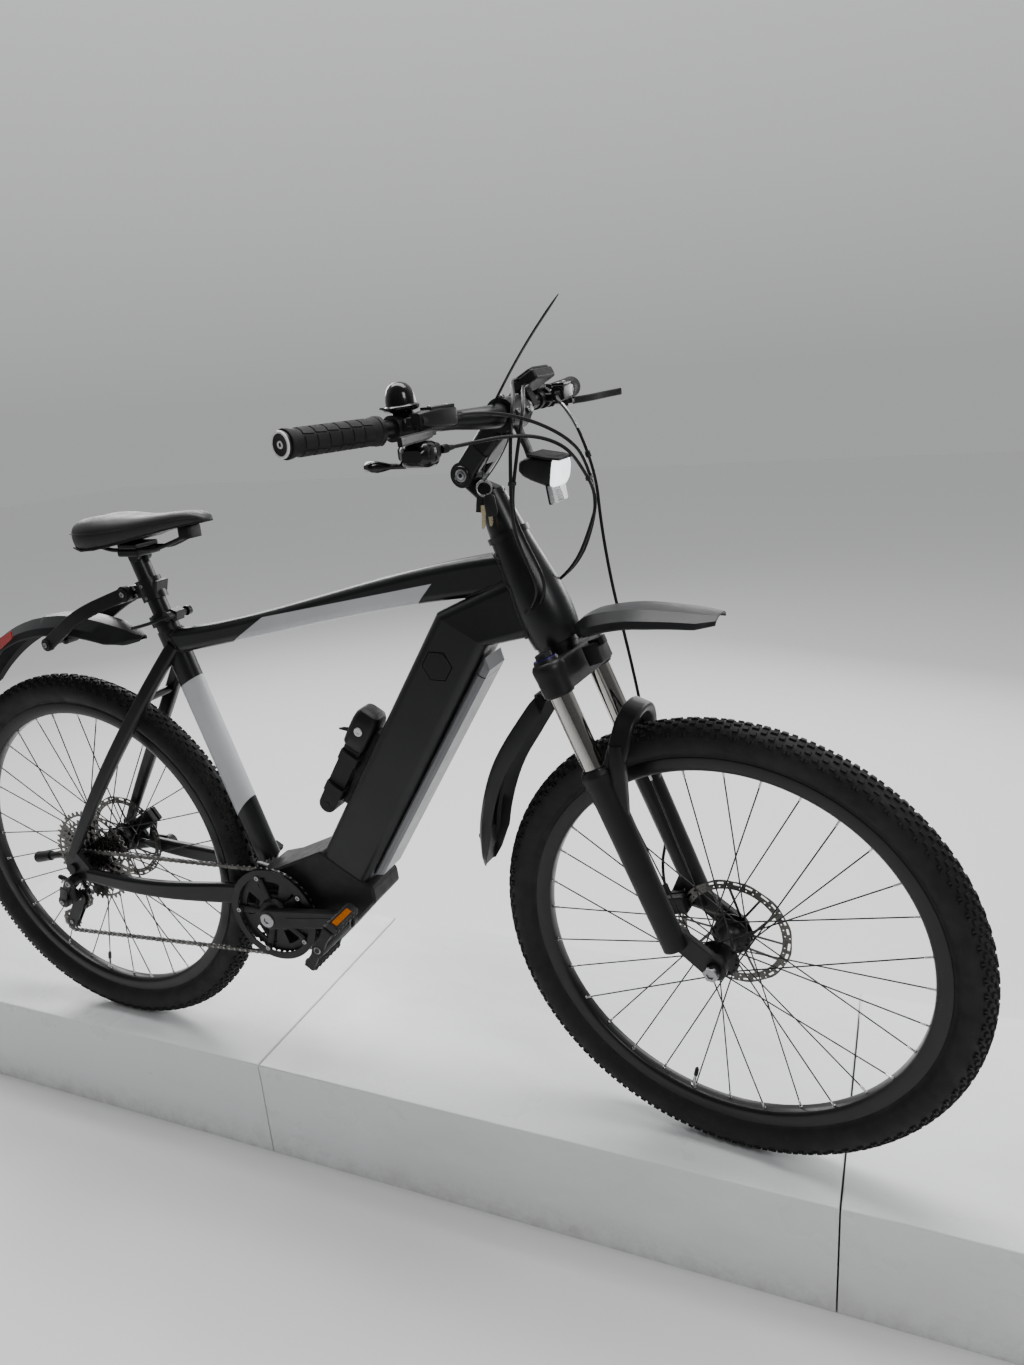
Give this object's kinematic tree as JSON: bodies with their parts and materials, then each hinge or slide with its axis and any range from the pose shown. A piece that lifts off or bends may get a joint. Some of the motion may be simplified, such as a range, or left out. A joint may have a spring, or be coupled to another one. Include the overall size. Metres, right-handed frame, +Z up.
{
  "type": "bicycle on stand",
  "caption": "Pedal-assist mountain bicycle with suspension fork, mudguards, lights and disc brakes, standing on a low white display plinth.",
  "frame": {"origin": "centre of the bounding box's bottom face, on the floor under the plinth", "axes": "+X forward along the bicycle, +Y to the rider's left, +Z up"},
  "size_m": [2.631, 0.8372, 1.5078],
  "materials": {
    "white_board": "white lacquered board, satin",
    "frame_black": "matt black paint",
    "cover_grey": "silver grey satin paint",
    "cast_black": "black anodised",
    "black_plastic": "moulded, fine grain",
    "fender_plastic": "satin moulded polypropylene",
    "gloss_plastic": "polished",
    "grip_rubber": "soft, blocked pattern",
    "tyre_rubber": "knobbly tread",
    "hose_black": "smooth",
    "saddle_cover": "embossed synthetic leather",
    "bright_steel": "hard chromed",
    "plain_steel": "machined",
    "spoke_black": "black drawn wire",
    "chain_steel": "oiled",
    "pack_plastic": "plain"
  },
  "bodies": {
    "frame": {"display_plinth": "white_board", "head_tube": "frame_black", "top_tube": "frame_black", "down_tube": "frame_black", "battery": "pack_plastic", "battery_cover": "cover_grey", "seat_tube": "frame_black", "chainstays": "frame_black", "seatstays": "frame_black", "drive_unit": "black_plastic", "seat_collar": "cast_black", "folding_lock": "black_plastic", "rear_caliper": "cast_black", "rear_axle": "plain_steel", "chain": "chain_steel", "derailleur_body": "cast_black", "derailleur_cage": "plain_steel", "lower_hoses": "hose_black"},
    "charge_flap": {"charge_flap": "black_plastic"},
    "kickstand": {"kickstand_leg": "cast_black"},
    "seatpost": {"seatpost": "cast_black", "saddle_rails": "plain_steel", "saddle_pad": "saddle_cover"},
    "fender_arm": {"rear_fender_arm": "black_plastic"},
    "fender_blade": {"rear_fender_blade": "fender_plastic"},
    "steerer": {"fork_crown": "cast_black", "stanchions": "bright_steel", "stem_base": "cast_black", "front_fender": "fender_plastic"},
    "bar": {"stem_arm": "cast_black", "handlebar": "cast_black", "grips": "grip_rubber", "brake_perches": "cast_black", "shifter_pod": "black_plastic", "bell": "gloss_plastic", "display_unit": "black_plastic", "headlight": "black_plastic", "upper_hoses": "hose_black"},
    "right_brake_lever": {"right_brake_lever": "cast_black"},
    "left_brake_lever": {"left_brake_lever": "cast_black"},
    "shift_lever": {"shift_lever": "black_plastic"},
    "lowers": {"fork_lowers": "frame_black", "front_axle": "plain_steel", "front_caliper": "cast_black", "front_brake_hose": "hose_black"},
    "front_wheel": {"front_tyre": "tyre_rubber", "front_rim": "frame_black", "front_spokes": "spoke_black", "front_hub": "cast_black"},
    "rear_wheel": {"rear_tyre": "tyre_rubber", "rear_rim": "frame_black", "rear_spokes": "spoke_black", "rear_hub": "cast_black"},
    "cassette": {"cassette": "chain_steel"},
    "crank": {"crank_arms": "cast_black", "chainring": "chain_steel"},
    "right_pedal": {"right_pedal": "black_plastic"},
    "left_pedal": {"left_pedal": "black_plastic"},
    "guide_pulley": {"guide_pulley": "black_plastic"},
    "tension_pulley": {"tension_pulley": "black_plastic"}
  },
  "joints": [
    {"name": "steering", "type": "hinge", "parent": "frame", "child": "steerer", "pos_m": [0.33202, -0.035, 1.10983], "axis": [-0.3746, 0, 0.9272], "range_deg": [-53, 67], "deforming": ["lower_hoses"]},
    {"name": "stem_tilt", "type": "hinge", "parent": "steerer", "child": "bar", "pos_m": [0.24333, -0.03293, 1.28431], "axis": [0.113, 0.9925, 0.0457], "range_deg": [-8, 10], "deforming": ["upper_hoses"]},
    {"name": "right_brake", "type": "hinge", "parent": "bar", "child": "right_brake_lever", "pos_m": [0.28641, -0.23848, 1.35332], "axis": [-0.0026, -0.0457, 0.999], "range_deg": [-15, 0], "stiffness_Nm_per_rad": 0.8, "springref_deg": 20.05},
    {"name": "left_brake", "type": "hinge", "parent": "bar", "child": "left_brake_lever", "pos_m": [0.3307, 0.1506, 1.37121], "axis": [-0.0026, -0.0457, 0.999], "range_deg": [0, 15], "stiffness_Nm_per_rad": 0.8, "springref_deg": -20.05},
    {"name": "shift_paddle", "type": "hinge", "parent": "bar", "child": "shift_lever", "pos_m": [0.25028, -0.20654, 1.31798], "axis": [-0.0026, -0.0457, 0.999], "range_deg": [0, 16], "stiffness_Nm_per_rad": 0.4, "springref_deg": -20.05},
    {"name": "fork_slide", "type": "slide", "parent": "steerer", "child": "lowers", "axis": [-0.3746, 0, 0.9272], "range_m": [0, 0.075], "stiffness_N_per_m": 9000, "springref_m": -0.012, "deforming": ["front_brake_hose"]},
    {"name": "front_wheel_spin", "type": "hinge", "parent": "lowers", "child": "front_wheel", "pos_m": [0.60464, -0.04134, 0.57286], "axis": [0.113, 0.9925, 0.0457], "continuous": true},
    {"name": "rear_wheel_spin", "type": "hinge", "parent": "frame", "child": "rear_wheel", "pos_m": [-0.633, -0.035, 0.573], "axis": [0, 1, 0], "continuous": true},
    {"name": "crank_spin", "type": "hinge", "parent": "frame", "child": "crank", "pos_m": [-0.185, -0.035, 0.532], "axis": [0, 1, 0], "continuous": true, "deforming": ["chain"]},
    {"name": "right_pedal_spin", "type": "hinge", "parent": "crank", "child": "right_pedal", "pos_m": [-0.01691, -0.035, 0.55742], "axis": [0, 1, 0], "continuous": true},
    {"name": "left_pedal_spin", "type": "hinge", "parent": "crank", "child": "left_pedal", "pos_m": [-0.35309, -0.035, 0.50658], "axis": [0, 1, 0], "continuous": true},
    {"name": "cassette_spin", "type": "hinge", "parent": "frame", "child": "cassette", "pos_m": [-0.633, -0.035, 0.573], "axis": [0, 1, 0], "continuous": true},
    {"name": "guide_pulley_spin", "type": "hinge", "parent": "frame", "child": "guide_pulley", "pos_m": [-0.657, -0.035, 0.494], "axis": [0, 1, 0], "continuous": true},
    {"name": "tension_pulley_spin", "type": "hinge", "parent": "frame", "child": "tension_pulley", "pos_m": [-0.695, -0.035, 0.434], "axis": [0, 1, 0], "continuous": true},
    {"name": "charge_flap_hinge", "type": "hinge", "parent": "frame", "child": "charge_flap", "pos_m": [0.19086, -0.075, 1.02032], "axis": [0.8517, 0, -0.524], "range_deg": [-80, 0]},
    {"name": "kickstand_swing", "type": "hinge", "parent": "frame", "child": "kickstand", "pos_m": [-0.571, 0.068, 0.543], "axis": [0, 1, 0], "range_deg": [-38, 0]},
    {"name": "seat_height", "type": "slide", "parent": "frame", "child": "seatpost", "axis": [-0.3007, 0, 0.9537], "range_m": [-0.01, 0.06]},
    {"name": "fender_arm_tilt", "type": "hinge", "parent": "seatpost", "child": "fender_arm", "pos_m": [-0.428, -0.035, 1.103], "axis": [0, 1, 0], "range_deg": [-2, 10]},
    {"name": "fender_blade_tilt", "type": "hinge", "parent": "fender_arm", "child": "fender_blade", "pos_m": [-0.603, -0.035, 1.014], "axis": [0, 1, 0], "range_deg": [-2, 12]}
  ],
  "couplings": [
    {"joint": "cassette_spin", "follows": "crank_spin", "ratio": 3.2308},
    {"joint": "guide_pulley_spin", "follows": "crank_spin", "ratio": -3.8182},
    {"joint": "tension_pulley_spin", "follows": "crank_spin", "ratio": 3.8182}
  ]
}
